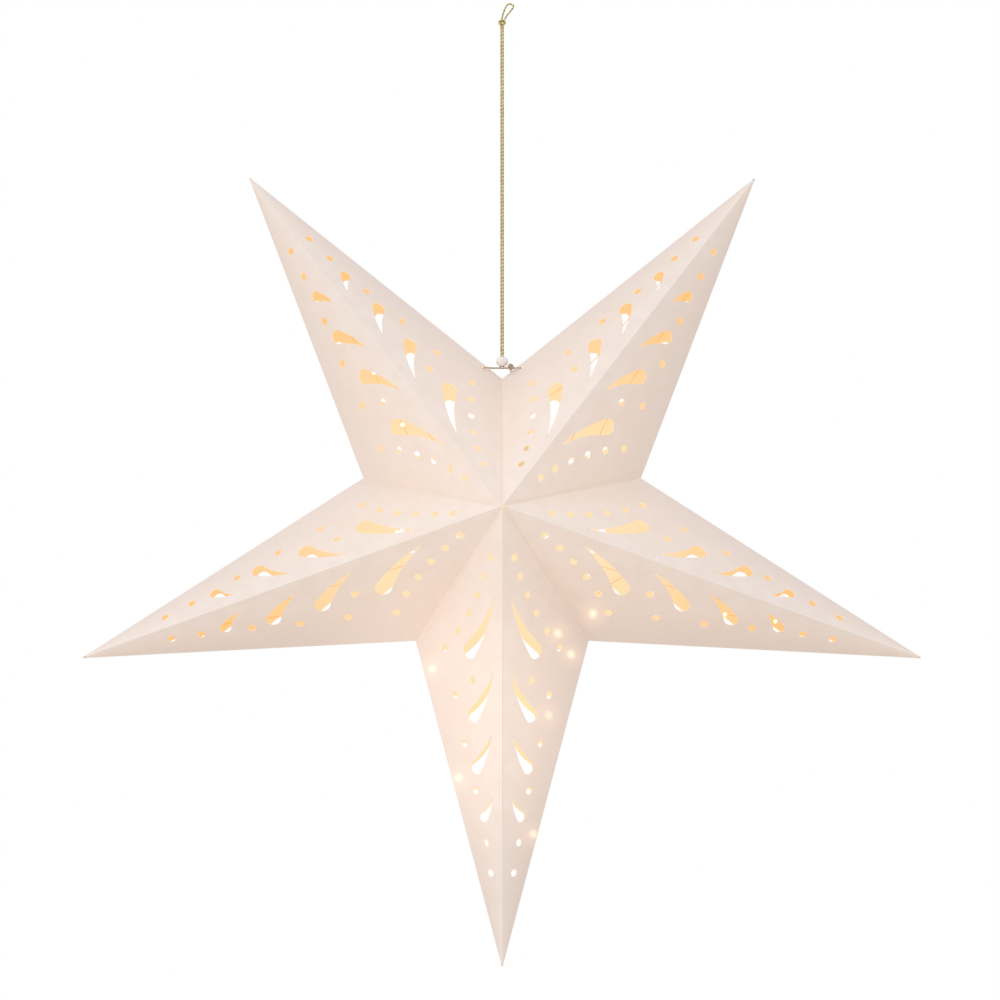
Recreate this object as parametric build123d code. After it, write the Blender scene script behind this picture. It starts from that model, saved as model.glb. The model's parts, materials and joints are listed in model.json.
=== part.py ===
# A five-pointed paper star lantern that hangs on a gold cord, lit from inside by a battery string of
# tiny lights. Millimetres. +Z is up, the front of the star faces -Y. The origin is the hanging point:
# the inside top of the small cord loop above the knot.
#
# Each of the five points is a folded paper tube with a diamond section: two front panels and two back
# panels. The panels meet at a front ridge, a back ridge and two side edges, and neighbouring points
# meet along valley creases. Every panel is flat, so the whole star folds into a flat fan about those
# creases. The seam between the two upper points is closed by the cord, and undone to fold the star.

import os
from math import atan2, cos, pi, radians, sin, tan

from build123d import *

# Overall size of the opened star
star_width = 600.0  # from the left tip to the right tip
valley_radius = 105.0  # from the star's axis to the outer end of a valley crease
half_depth = 85.0  # from the star's middle plane to the front apex
points = 5

# The paper
paper = 0.4  # thickness of one sheet
crease_gap = 0.05  # each panel stops this short of a crease
tip_clip = 2.0  # how much of each corner is missing, along each of its edges
apex_clip = 2.5
valley_clip = 1.5
back_ridge_relief = 0.4  # extra gap of the back ridges at the back apex, for folding

# The glued flaps that join neighbouring points, on the inside of the paper
flap_width = 6.5  # at the side edge
flap_width_inner = 2.5  # at the end near the apex
flap_edge_gap = 1.2  # from the side edge
flap_apex_gap = 20.0  # from the apex

# Cut-outs of one panel. Places are shares of the side edge, from the tip, and of the panel's width there.
# A drop also has the width of its head and the distance from its tail to the ridge.
dot_size = 5.5
dots = [(0.272, 0.54), (0.362, 0.50), (0.516, 0.43), (0.659, 0.36), (0.804, 0.345), (0.828, 0.61)]
drops = [
    (0.436, 0.535, 8.0, 8.7),
    (0.581, 0.507, 10.0, 10.0),
    (0.73, 0.566, 11.0, 8.8),
    (0.914, 0.601, 12.0, 7.2),
]
drop_lean = 51.3  # degrees between a drop and the side edge
drop_bend = 0.05  # how far a drop's middle bows out, as a share of its length
drop_wrap = 22.0  # degrees by which the round head goes on past its half circle, on the inner side
row_dots = 6
row_outer = (27.7, 24.6)  # first dot of the row: from the side edge, from the valley crease
row_inner = (10.9, 15.1)  # last dot of the row: from the ridge, from the valley crease
row_bow = 4.8
row_crowd = 0.15  # the dots draw together towards the ridge

# The holes that the cord goes through at the seam
tie_hole = 3.3
tie_hole_along = 16.0  # from the valley corner, along the side edge
tie_hole_in = 3.0  # from the side edge

# The hanging cord, its loop, its knots and the bead
cord = 1.35
seam_cord_width = 1.0
strand_gap = 0.1  # between the two strands
cord_rise = 260.5  # from the seam up to the knot
knot_clearance = 0.1
knot_tilt = 42.0  # degrees, of the two turns of the top knot
tie_knot_tilt = 54.0
tie_knot_place = 6.2  # from the cord's axis to the knot beside the bead
tie_knot_rise = 0.7  # from the cord on the seam up to the knot's middle
tail_length = 1.8
loop_lean = 6.1  # how far right of the strands the hanging point lies
loop_rise = 13.6  # from the knot up to the hanging point
loop_slope = 0.16
loop_left = 2.6  # the loop's corners, from the hanging point
loop_right = 1.8
loop_shoulder = (2.9, 2.3)
loop_start = (2.6, 2.3)  # where the left and the right strand bend, above the knot's middle
bead_width = 9.0
bead_height = 7.7
bead_clearance = 0.15
seam_clearance = 0.1  # between the hanging cord, the bead and the cord on the seam
tie_depth = 4.4  # from the middle plane to the cord in front of the paper and behind it
tie_low = 0.4  # how far the cord in front of the paper is below its holes
tie_high = 0.8  # and how far the cord behind it is above them
tie_turn = 1.3  # radius of the cord's tight turns on the seam
tie_sweep = 6.0  # and of the wide ones there
loop_turn = 4.0  # radius of the strands' bends above the knot

# The battery case of the lights
case_wall = 1.2
case_side = 2.0
case_place = (6.0, 8.0)  # its middle, right of the middle of the star and behind it
case_top = 72.0  # its upper end, where the wire leaves it, above the middle of the star
cover_thickness = 1.2
cover_lip = 1.0  # the rim of the case over the cover's edges
groove_depth = 1.0
cover_clearance = 0.1
cover_panel = 0.5  # how far its middle stands up between the rims
cover_ribs = 4
rib_pitch = 3.0
rib = (12.0, 1.2, 0.5)  # length, width and height
cell_size = 20.0
cell_thickness = 3.2
cell_gap = 0.6
cell_side_gap = 1.0
cell_cap = (15.0, 0.3)  # the raised face of a cell: its size and height
spring_space = 2.0
switch_bay = 8.6
contact_thickness = 0.3
contact_width = 6.0
contact_arm = 9.0
switch_length = 10.5
switch_height = 5.4
switch_depth = 3.4
switch_travel = 3.0
knob = 2.4  # the square stem of the knob
knob_out = 1.4  # how far the knob stands out of the case
knob_foot = (3.6, 0.9)  # size and thickness of the foot that keeps it in
switch_clearance = 0.15

# The string of lights. Its wire leaves the battery case, goes over the cord inside the upper left
# point, which carries the case, and then through all five points.
wire = 0.45
light_size = 2.6
light_bore_gap = 0.05
wire_hole_gap = 0.15
least_light_run = 26.0  # a run of the wire this long carries a light
wire_at_case = [(7.5, 8.1, 66.5), (7.5, 8.1, 75.5), (3, 6, 88), (-5.5, 2, 101)]
wire_over_cord = [  # from the middle of the cord between the left holes
    (3.5, 0.4, -4.1), (2.3, 0, -0.4), (-0.7, 0, 1.8), (-4.9, -0.6, 1.3), (-6.7, -2, -3.3),
]
wire_through_points = [
    (-14, -4, 98), (-2, -6, 87), (14, -12, 82), (38, -12, 92), (68, -8, 118), (89, -3, 146),
    (110, 1, 171), (126, 3, 188), (139, 4, 193), (144, 5, 183), (134, 7, 167), (117, 10, 140),
    (95, 13, 107), (72, 14, 71), (56, 10, 28), (52, -2, -12), (42, -14, -42), (87, -10, -68),
    (137, -8, -64), (182, -4, -70), (210, 1, -73), (227, 4, -73), (227, 5, -64), (210, 7, -55),
    (181, 9, -44), (140, 12, -33), (100, 12, -28), (52, 8, -62), (44, 2, -112), (24, -6, -152),
    (26, 0, -196), (17, 0, -230), (9, 0, -246), (-2, 1, -251), (-9, 0, -242), (-14, -2, -224),
    (-20, -4, -198), (-36, 0, -158), (-44, -2, -118), (-54, 0, -82), (-90, -6, -58), (-132, -10, -66),
    (-176, -4, -70), (-202, 1, -74), (-218, 4, -72), (-219, 6, -63), (-204, 8, -55), (-176, 10, -46),
    (-132, 10, -36), (-92, 8, -22), (-60, 3, 10), (-62, -4, 52), (-82, -6, 90), (-104, -4, 128),
    (-128, 0, 166),
]

# Worked out from the sizes above
tip_radius = star_width / 2 / sin(2 * pi / points)
strand_x = (cord + strand_gap) / 2
cell_bay = contact_thickness + cell_thickness + cell_cap[1] + spring_space
case_depth = case_wall + cell_bay + cover_thickness + 2 * cover_clearance + cover_lip
case_length = 3 * case_wall + 2 * cell_size + 3 * cell_gap + switch_bay
inner_width = cell_size + 2 * cell_side_gap
case_width = inner_width + 2 * case_side
tip_angles = {"upper_left": 126, "left": 198, "bottom": 270, "right": 342, "upper_right": 54}
# The two sides of each point, the one towards the seam's left edge first, going round leftwards
sides = {
    "upper_left": ("right", "left"),
    "left": ("upper", "lower"),
    "bottom": ("left", "right"),
    "right": ("lower", "upper"),
    "upper_right": ("right", "left"),
}
half_turn = 180 / points


def star_point(radius, angle):
    """A point of the middle plane, from the middle of the star."""
    return Vector(radius * cos(radians(angle)), 0, radius * sin(radians(angle)))


apexes = {"front": Vector(0, -half_depth, 0), "back": Vector(0, half_depth, 0)}

# One panel laid flat: the tip at the origin, the side edge along X, the ridge above it
first_tip = star_point(tip_radius, 90 + half_turn)
first_valley = star_point(valley_radius, 90)
side_length = (first_valley - first_tip).length
side_direction = (first_valley - first_tip).normalized()
apex_along = (apexes["front"] - first_tip).dot(side_direction)
apex_in = ((apexes["front"] - first_tip).length ** 2 - apex_along**2) ** 0.5
tip_2d = Vector(0, 0)
valley_2d = Vector(side_length, 0)
apex_2d = Vector(apex_along, apex_in)
ridge_angle = atan2(apex_in, apex_along)
panel_normal = side_direction.cross(apexes["front"] - first_tip).normalized()
valley_half_angle = radians(panel_normal.get_angle(Vector(1, 0, 0)))
valley_half_angle = min(valley_half_angle, pi - valley_half_angle)
valley_gap = crease_gap + paper / tan(valley_half_angle)


def direction(start, end):
    return (end - start).normalized()


def clipped_corner(corner, before, after, gap_before, gap_after, clip):
    """The two points that stand for a corner once its edges are moved in and its tip is cut off."""
    to_before = direction(corner, before)
    to_after = direction(corner, after)
    sine = sin(radians(to_before.get_angle(to_after)))
    inner = corner + to_before * (gap_after / sine) + to_after * (gap_before / sine)
    return [inner + to_before * clip, inner + to_after * clip]


def panel_outline(ridge_relief):
    valley_to_ridge = radians(direction(apex_2d, tip_2d).get_angle(direction(apex_2d, valley_2d)))
    apex = apex_2d + direction(apex_2d, valley_2d) * (ridge_relief / sin(valley_to_ridge))
    corners = clipped_corner(tip_2d, apex, valley_2d, crease_gap, crease_gap, tip_clip)
    corners += clipped_corner(valley_2d, tip_2d, apex, crease_gap, valley_gap, valley_clip)
    corners += clipped_corner(apex, valley_2d, tip_2d, valley_gap, crease_gap, apex_clip)
    return make_face(Polyline(*corners, close=True))


def panel_place(along_share, in_share):
    """A place on the flat panel, as shares of the side edge and of the panel's width there."""
    along = along_share * side_length
    return Vector(along, in_share * along * tan(ridge_angle))


def drop_cutout(head, size, ridge_gap):
    """A curved drop: a round head near the side edge and a tail that points at the ridge."""
    lean = radians(drop_lean)
    to_ridge = head.X * sin(ridge_angle) - head.Y * cos(ridge_angle)
    length = (to_ridge - ridge_gap) / sin(lean - ridge_angle)
    bow = drop_bend * length
    wrap = radians(drop_wrap)
    wrap_end = (size / 2 * sin(wrap), -size / 2 * cos(wrap))
    back = ThreePointArc((0, size / 2), (length / 2, 0.27 * size + bow), (length, 0))
    belly = ThreePointArc((length, 0), (length / 2, bow - 0.22 * size), wrap_end)
    front = ThreePointArc(wrap_end, (-size / 2, 0), (0, size / 2))
    outline = make_face(Curve() + [back, belly, front])
    return Pos(head.X, head.Y) * Rot(0, 0, drop_lean) * outline


def row_places():
    """The bowed row of dots beside the valley crease."""
    crease = direction(valley_2d, apex_2d)
    away = Vector(-crease.Y, crease.X)
    crease_angle = atan2(crease.Y, crease.X)
    edge_gap, outer_gap = row_outer
    ridge_gap, inner_gap = row_inner
    first = valley_2d + away * outer_gap
    first = first + crease * ((edge_gap - first.Y) / crease.Y)
    last = apex_2d + away * inner_gap
    ridge_distance = last.X * sin(ridge_angle) - last.Y * cos(ridge_angle)
    last = last - crease * ((ridge_gap - ridge_distance) / sin(crease_angle - ridge_angle))
    across = direction(first, last)
    bow = Vector(-across.Y, across.X) * row_bow
    places = []
    for number in range(row_dots):
        even = number / (row_dots - 1)
        share = even * (1 + row_crowd * (1 - even))
        places.append(first + (last - first) * share + bow * (4 * share * (1 - share)))
    return places


def panel_cutouts():
    places = [panel_place(along, inward) for along, inward in dots] + row_places()
    cutouts = [Pos(place.X, place.Y) * Circle(dot_size / 2) for place in places]
    for along, inward, size, ridge_gap in drops:
        cutouts.append(drop_cutout(panel_place(along, inward), size, ridge_gap))
    return cutouts


def flat_panel(face, at_seam):
    sheet = panel_outline(back_ridge_relief if face == "back" else 0)
    cutouts = panel_cutouts()
    if at_seam:
        cutouts.append(Pos(side_length - tie_hole_along, tie_hole_in) * Circle(tie_hole / 2))
    return extrude(sheet - cutouts, amount=paper)


def flat_flap():
    """The band of doubled paper inside a panel, beside its valley crease."""
    crease = direction(valley_2d, apex_2d)
    away = Vector(-crease.Y, crease.X)
    start = valley_2d - crease * flap_width
    end = apex_2d - crease * flap_apex_gap
    band = Polyline(
        start + away * valley_gap,
        end + away * valley_gap,
        end + away * flap_width_inner,
        start + away * flap_width,
        close=True,
    )
    edge = Pos(side_length, flap_edge_gap + side_length / 2) * Rectangle(side_length, side_length)
    return extrude(make_face(band) & edge, amount=-paper)


def on_panel(flat, point, face, side_number):
    """Puts a flat piece on its panel of the star, with its upper face outside."""
    tip = star_point(tip_radius, tip_angles[point])
    turn = -half_turn if side_number == 0 else half_turn
    valley = star_point(valley_radius, tip_angles[point] + turn)
    to_apex = apexes[face] - tip
    edge = direction(tip, valley)
    outward = edge.cross(to_apex).normalized()
    if outward.dot(apexes[face]) < 0:
        outward = outward * -1
    plane = Plane(origin=tip, x_dir=edge, z_dir=outward)
    if plane.y_dir.dot(to_apex) < 0:
        flat = mirror(flat, about=Plane.XZ)
    return plane.location * flat


def paper_pieces():
    seam_panels = {("upper_left", 0), ("upper_right", 1)}
    flat = {(face, seam): flat_panel(face, seam) for face in apexes for seam in (False, True)}
    flap = flat_flap()
    pieces = {}
    for point in tip_angles:
        for face in apexes:
            for number, side in enumerate(sides[point]):
                blank = flat[face, (point, number) in seam_panels]
                pieces[f"{point}_{face}_{side}"] = on_panel(blank, point, face, number)
            if point != "upper_left":
                pieces[f"{point}_{face}_flap"] = on_panel(flap, point, face, 0)
    return pieces


# The cord
seam_hole = first_valley - side_direction * tie_hole_along
seam_hole += (apexes["front"] - first_tip - side_direction * apex_along).normalized() * tie_hole_in
seam_height = seam_hole.Z
seam_top = seam_height + tie_turn + seam_clearance
knot_height = seam_height + cord_rise
hanging_point = Vector(loop_lean, 0, knot_height + loop_rise)


def tube(points, radii, size):
    """A cord of straight runs and arcs, and the length of its middle line."""
    path = FilletPolyline(*points, radius=radii)
    start = Plane(origin=path @ 0, z_dir=path % 0)
    return sweep(start * Circle(size / 2), path=path), path.length


def corner_radii(points):
    """As large an arc at each corner as its two runs allow."""
    radii = []
    for before, corner, after in zip(points, points[1:], points[2:]):
        turn = radians((corner - before).get_angle(after - corner))
        shorter = min((corner - before).length, (after - corner).length)
        radii.append(0.45 * shorter / tan(turn / 2))
    return radii


def hanging_cord():
    """Both strands, from the bead up to the knot, and the loop above the knot."""
    foot = seam_top + seam_clearance
    line = cord / 2
    shoulder_out, shoulder_down = loop_shoulder
    left_start, right_start = loop_start
    points = [
        Vector(-strand_x, 0, foot),
        Vector(-strand_x, 0, knot_height + left_start),
        hanging_point + Vector(-loop_left, 0, line + loop_left * loop_slope),
        hanging_point + Vector(loop_right, 0, line - loop_right * loop_slope),
        hanging_point + Vector(shoulder_out, 0, line - shoulder_down),
        Vector(strand_x, 0, knot_height + right_start),
        Vector(strand_x, 0, foot),
    ]
    radii = corner_radii(points)
    radii[0] = radii[-1] = loop_turn
    return report_cord("hanging cord", points, radii, cord)


def seam_cord():
    """From under the bead through the left holes, behind the seam, and back through the right ones."""
    bend = tie_turn / 0.45
    left = [
        Vector(-strand_x, 0, seam_top),
        Vector(-strand_x, 0, seam_height),
        Vector(seam_hole.X + bend, -tie_depth, seam_height - tie_low),
        Vector(seam_hole.X, -tie_depth, seam_height - tie_low),
        Vector(seam_hole.X, tie_depth, seam_height + tie_high),
    ]
    right = [Vector(-point.X, point.Y, point.Z) for point in reversed(left)]
    points = left + right
    half = [tie_turn, tie_sweep, tie_turn, tie_turn]
    return report_cord("cord on the seam", points, half + half[::-1], seam_cord_width)


def report_cord(name, points, radii, size):
    solid, length = tube(points, radii, size)
    share = solid.volume / (pi * size**2 / 4 * length)
    print(f"{name}: length {length:.1f}, volume share {share:.4f}, radii", [round(r, 1) for r in radii])
    return solid


def knot(plane, radius, size, tilt):
    """Two turns of cord round what passes through the knot, crossed where they are widest."""
    turns = [plane * Rot(angle, 0, 0) * Torus(radius, size / 2) for angle in (-tilt, tilt)]
    return turns[0] + turns[1]


def top_knot():
    plane = Plane(origin=(0, 0, knot_height), x_dir=(1, 0, 0), z_dir=(0, 0, 1))
    return knot(plane, strand_x + cord + knot_clearance, cord, knot_tilt)


def tie_knot():
    """The knot in the cord on the seam, right of the bead, with a short cut end."""
    start = Vector(strand_x, 0, seam_height)
    end = Vector(-seam_hole.X - tie_turn / 0.45, -tie_depth, seam_height - tie_low)
    along = direction(start, end)
    place = start + along * ((tie_knot_place - start.X) / along.X) + Vector(0, 0, tie_knot_rise)
    radius = (seam_cord_width + knot_clearance) / cos(radians(tie_knot_tilt))
    up = (Vector(0, 0, 1) - along * along.Z).normalized()
    turns = knot(Plane(origin=place, x_dir=up, z_dir=along), radius, seam_cord_width, tie_knot_tilt)
    tail_way = Vector(0.1, -0.25, -0.96)
    tail = Plane(origin=place - up * radius, z_dir=tail_way) * Circle(seam_cord_width / 2)
    return turns + extrude(tail, amount=tail_length)


def bead():
    bore = strand_x + cord / 2 + bead_clearance
    ball = scale(Sphere(bead_width / 2), by=(1, 1, bead_height / bead_width))
    bottom = seam_top - seam_clearance
    rim = bead_height / 2 * (1 - (2 * bore / bead_width) ** 2) ** 0.5
    return Pos(0, 0, bottom + rim) * (ball - Cylinder(bore, 2 * bead_height))


# The battery case stands on end. X is across it, Z is along it, and the cover is on its back, +Y.
front_face = -case_depth / 2
floor_face = front_face + case_wall
cover_face = floor_face + cell_bay
inner_top = case_length / 2 - case_wall
inner_bottom = -inner_top
divider = inner_top - switch_bay - case_wall / 2
cell_middles = [divider - case_wall / 2 - cell_gap - cell_size / 2]
cell_middles.append(cell_middles[0] - cell_size - cell_gap)
switch_middle = inner_top - switch_bay / 2
knob_slot = knob + switch_travel + 2 * switch_clearance
knob_rest = -switch_travel / 2


def block(x, y, z):
    """A box from its lowest and highest places along each axis."""
    size = (x[1] - x[0], y[1] - y[0], z[1] - z[0])
    middle = ((x[0] + x[1]) / 2, (y[0] + y[1]) / 2, (z[0] + z[1]) / 2)
    return Pos(*middle) * Box(*size)


def centred(width):
    return (-width / 2, width / 2)


def groove():
    """The space that the cover slides in, open at the bottom end."""
    width = inner_width + 2 * groove_depth
    depth = cover_thickness + 2 * cover_clearance
    return block(centred(width), (cover_face, cover_face + depth), (-case_length, inner_top))


def switch_slot(size, depth, start):
    length = size + switch_travel + 2 * switch_clearance
    height = size + 2 * switch_clearance
    heights = (switch_middle - height / 2, switch_middle + height / 2)
    return block(centred(length), (start, start + depth), heights)


def battery_case():
    outer = Box(case_width, case_depth, case_length)
    outer = fillet(outer.edges().filter_by(Axis.Z).group_by(Axis.Y)[0], case_wall)
    above_floor = (floor_face, case_depth)
    cells = block(centred(inner_width), above_floor, (inner_bottom, divider - case_wall / 2))
    bay = block(centred(inner_width), above_floor, (divider + case_wall / 2, inner_top))
    over_ends = block(centred(inner_width), (cover_face, case_depth), (-case_length, inner_top))
    wire_hole = Pos(*wire_exit()) * Cylinder(wire / 2 + wire_hole_gap, 4 * case_wall)
    slot = switch_slot(knob, case_wall, front_face)
    return outer - cells - bay - over_ends - groove() - wire_hole - slot


def wire_exit():
    """Where the wire leaves the case, from the middle of the case."""
    x, y, _ = wire_at_case[0]
    return (x - case_place[0], y - case_place[1], case_length / 2)


def battery_cover():
    width = inner_width + 2 * (groove_depth - cover_clearance)
    low = cover_face + cover_clearance
    high = low + cover_thickness
    plate = block(centred(width), (low, high), (-case_length / 2, inner_top - cover_clearance))
    middle = block(
        centred(inner_width - 2 * cover_clearance),
        (high, high + cover_panel),
        (-case_length / 2, inner_top - cover_clearance),
    )
    cover = plate + middle
    rib_length, rib_width, rib_height = rib
    for number in range(cover_ribs):
        z = (number - (cover_ribs - 1) / 2) * rib_pitch
        heights = (high + cover_panel, high + cover_panel + rib_height)
        cover += block(centred(rib_length), heights, (z - rib_width / 2, z + rib_width / 2))
    return cover


def coin_cells():
    """Two cells side by side, one of them turned over, so that the floor plate joins them."""
    cap, rise = cell_cap
    cells = []
    for number, z in enumerate(cell_middles):
        low = floor_face + contact_thickness
        body_low = low if number == 0 else low + rise
        cap_low = low + cell_thickness if number == 0 else low
        upright = Rot(-90, 0, 0)
        body = Pos(0, body_low + cell_thickness / 2, z) * upright * Cylinder(cell_size / 2, cell_thickness)
        raised = Pos(0, cap_low + rise / 2, z) * upright * Cylinder(cap / 2, rise)
        cells.append(body + raised)
    return cells


def contact_plate():
    reach = (cell_middles[1] - contact_arm, cell_middles[0] + contact_arm)
    return block(centred(contact_width), (floor_face, floor_face + contact_thickness), reach)


def contact_springs():
    """At each end of the cells, a strip that stands on the floor and folds over onto the cell."""
    springs = []
    top = floor_face + contact_thickness + cell_thickness + cell_cap[1]
    for number, z in enumerate(cell_middles):
        way = 1 if number == 0 else -1
        outer = z + way * (cell_size / 2 + cell_gap - contact_thickness / 2)
        inner = outer - way * contact_thickness
        riser = block(centred(contact_width), (floor_face, top + contact_thickness), sorted((inner, outer)))
        arm_end = outer - way * contact_arm
        arm = block(centred(contact_width), (top, top + contact_thickness), sorted((arm_end, outer)))
        springs.append(riser + arm)
    return springs


def switch_body():
    depths = (floor_face, floor_face + switch_depth)
    heights = (switch_middle - switch_height / 2, switch_middle + switch_height / 2)
    foot, foot_thickness = knob_foot
    body = block(centred(switch_length), depths, heights)
    return body - switch_slot(foot, foot_thickness + 2 * switch_clearance, floor_face)


def switch_knob():
    """The stem in the slot of the case, a ridged top, and the foot that keeps it in."""
    foot, foot_thickness = knob_foot
    foot_low = floor_face + switch_clearance
    stem = block(centred(knob), (front_face - knob_out, foot_low), centred(knob))
    base = block(centred(foot), (foot_low, foot_low + foot_thickness), centred(foot))
    grip = fillet(stem.edges().filter_by(Axis.Z).group_by(Axis.Y)[0], knob / 6)
    return Pos(knob_rest, 0, switch_middle) * (grip + base)


def in_case(pieces):
    x, y = case_place
    return Pos(x, y, case_top - case_length / 2) * pieces


def wire_route():
    """The wire's points: from the case, over the cord between the left holes, through all the points."""
    hooked_on = Vector(seam_hole.X, 0, seam_height + (tie_high - tie_low) / 2)
    at_case = [Vector(*place) for place in wire_at_case]
    over_cord = [hooked_on + Vector(*place) for place in wire_over_cord]
    return at_case + over_cord + [Vector(*place) for place in wire_through_points]


def lights_wire():
    points = wire_route()
    radii = corner_radii(points)
    solid, length = tube(points, radii, wire)
    share = solid.volume / (pi * wire**2 / 4 * length)
    print(f"wire of the lights: length {length:.1f}, volume share {share:.4f}, least radius {min(radii):.2f}")
    print("radii of the wire", [round(r, 1) for r in radii])
    return solid


def lights():
    """A clear drop on the middle of each long run of the wire."""
    drops_on_wire = []
    points = wire_route()
    for start, end in zip(points, points[1:]):
        if (end - start).length < least_light_run:
            continue
        drop = Sphere(light_size / 2) - Cylinder(wire / 2 + light_bore_gap, 2 * light_size)
        drops_on_wire.append(Plane(origin=(start + end) / 2, z_dir=end - start) * drop)
    print("lights", len(drops_on_wire))
    return drops_on_wire


def solids_of(pieces):
    """One shape for a node that may be several separate solids."""
    if not isinstance(pieces, list):
        pieces = [pieces]
    found = [solid for piece in pieces for solid in piece.solids()]
    return found[0] if len(found) == 1 else Compound(children=found)


def all_pieces():
    pieces = paper_pieces()
    pieces["hanging_cord"] = hanging_cord()
    pieces["top_knot"] = top_knot()
    pieces["bead"] = bead()
    pieces["seam_cord"] = seam_cord()
    pieces["tie_knot"] = tie_knot()
    for make in (battery_case, battery_cover, contact_plate, switch_body, switch_knob):
        pieces[make.__name__] = in_case(make())
    for make in (coin_cells, contact_springs):
        pieces[make.__name__] = [in_case(piece) for piece in make()]
    pieces["lights_wire"] = lights_wire()
    pieces["lights"] = lights()
    return pieces


os.makedirs("parts", exist_ok=True)
to_origin = Pos(-hanging_point.X, -hanging_point.Y, -hanging_point.Z)
for node, pieces in all_pieces().items():
    export_step(to_origin * solids_of(pieces), f"parts/{node}.step")
bead_top = seam_top - seam_clearance + bead_height
print("hanging point above the star's middle", round(hanging_point.Z, 3), "right of it", hanging_point.X)
print("bead travel", round(knot_height - cord / 2 - (strand_x + cord) * sin(radians(knot_tilt)) - bead_top, 1))
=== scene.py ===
# %% [markdown]
# A star lantern of folded paper, on a gold cord, lit from inside by a string of tiny lights. The
# CAD model is loaded first, as a frame that nothing here may move. Every piece below is made in
# the same place and in the same units, metres, so that it can take the place of a CAD part or rest
# on one.

# %% Load the CAD model
import json
from math import atan2, cos, pi, radians, sin, tan

import bpy
import numpy as np
from mathutils import Matrix, Vector, noise

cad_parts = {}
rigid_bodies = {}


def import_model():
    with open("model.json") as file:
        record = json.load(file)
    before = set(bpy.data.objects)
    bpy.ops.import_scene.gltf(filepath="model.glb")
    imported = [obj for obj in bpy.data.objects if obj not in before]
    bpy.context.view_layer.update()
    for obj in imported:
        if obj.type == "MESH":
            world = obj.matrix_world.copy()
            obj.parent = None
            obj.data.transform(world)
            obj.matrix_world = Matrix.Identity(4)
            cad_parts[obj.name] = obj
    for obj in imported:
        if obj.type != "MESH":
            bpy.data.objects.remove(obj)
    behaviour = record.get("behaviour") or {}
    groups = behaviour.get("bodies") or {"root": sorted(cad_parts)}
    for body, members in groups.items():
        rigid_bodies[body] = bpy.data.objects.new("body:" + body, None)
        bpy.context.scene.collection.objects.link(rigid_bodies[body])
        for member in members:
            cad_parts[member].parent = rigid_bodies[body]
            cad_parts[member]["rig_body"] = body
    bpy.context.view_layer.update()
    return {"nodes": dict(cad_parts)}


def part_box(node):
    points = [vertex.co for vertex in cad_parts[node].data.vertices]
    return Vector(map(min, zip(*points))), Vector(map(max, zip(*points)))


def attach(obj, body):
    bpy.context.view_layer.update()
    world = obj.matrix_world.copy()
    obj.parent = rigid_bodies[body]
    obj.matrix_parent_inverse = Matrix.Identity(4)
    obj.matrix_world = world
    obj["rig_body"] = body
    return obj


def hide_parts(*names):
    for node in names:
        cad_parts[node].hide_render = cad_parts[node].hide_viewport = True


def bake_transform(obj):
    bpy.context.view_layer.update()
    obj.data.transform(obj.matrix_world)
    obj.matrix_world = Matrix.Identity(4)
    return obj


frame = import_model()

mm = 0.001

# %% [markdown]
# The camera stands two metres in front of the star and a little below it, and looks slightly up. A
# long lens keeps the five points nearly equal, as they are in the photograph. The hook is at
# the origin of the model, and the middle of the star is below it, a little to the left.

# %% Camera
hook_right = 6.1
hook_above = 387.557
sensor_width = 36
lens = 99.68
star_middle = Vector((-hook_right, 0, -hook_above)) * mm
camera_place = star_middle + Vector((-8.1, -1979.3, -270.1)) * mm
looked_at = star_middle + Vector((-1.57, 0, 16.63)) * mm
way = (looked_at - camera_place).to_track_quat("-Z", "Y").to_euler()
bpy.ops.object.camera_add(location=camera_place, rotation=way)
camera = bpy.context.object
camera.data.sensor_width = sensor_width
camera.data.lens = lens
bpy.context.scene.camera = camera
print("camera at", [round(x, 3) for x in camera.location], "lens", camera.data.lens)

# %% [markdown]
# The lantern hangs in a white room. Most of the light comes evenly from all round, and one large
# soft lamp stands at the left, so the panels that face it are a little lighter. What the camera
# sees behind the star is plain white, and so is what shiny surfaces reflect, but that white is not
# the strength at which the room lights the paper.

# %% Room, lamp and floor
room_light = 0.88
lamp_power = 5.4
lamp_width = 1.2
floor_width = 12
floor_drop = 1.25


def node(tree, kind, sockets=None, **choices):
    """Adds a node, sets its choices, and fills its sockets with values or links."""
    made = tree.nodes.new("ShaderNode" + kind)
    for name, value in choices.items():
        setattr(made, name, value)
    for name, value in (sockets or {}).items():
        if isinstance(value, bpy.types.NodeSocket):
            tree.links.new(value, made.inputs[name])
        else:
            made.inputs[name].default_value = value
    return made


def math_node(tree, operation, first, second=0.0):
    return node(tree, "Math", {0: first, 1: second}, operation=operation).outputs[0]


world = bpy.data.worlds.new("white_room")
bpy.context.scene.world = world
world.use_nodes = True
room = world.node_tree
room.nodes.clear()
rays = node(room, "LightPath")
seen = math_node(room, "MAXIMUM", rays.outputs["Is Camera Ray"], rays.outputs["Is Glossy Ray"])
seen = math_node(room, "MAXIMUM", seen, rays.outputs["Is Transmission Ray"])
lighting = node(room, "Background", {"Color": (1, 1, 1, 1), "Strength": room_light})
backdrop = node(room, "Background", {"Color": (1, 1, 1, 1), "Strength": 1.0})
either = node(room, "MixShader", {0: seen, 1: lighting.outputs[0], 2: backdrop.outputs[0]})
node(room, "OutputWorld", {"Surface": either.outputs[0]})

lamp_place = star_middle + Vector((-1.4, -1.6, 0.2))
lamp_way = (star_middle - lamp_place).to_track_quat("-Z", "Y").to_euler()
bpy.ops.object.light_add(type="AREA", location=lamp_place, rotation=lamp_way)
lamp = bpy.context.object
lamp.data.shape = "DISK"
lamp.data.size = lamp_width
lamp.data.energy = lamp_power

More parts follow.
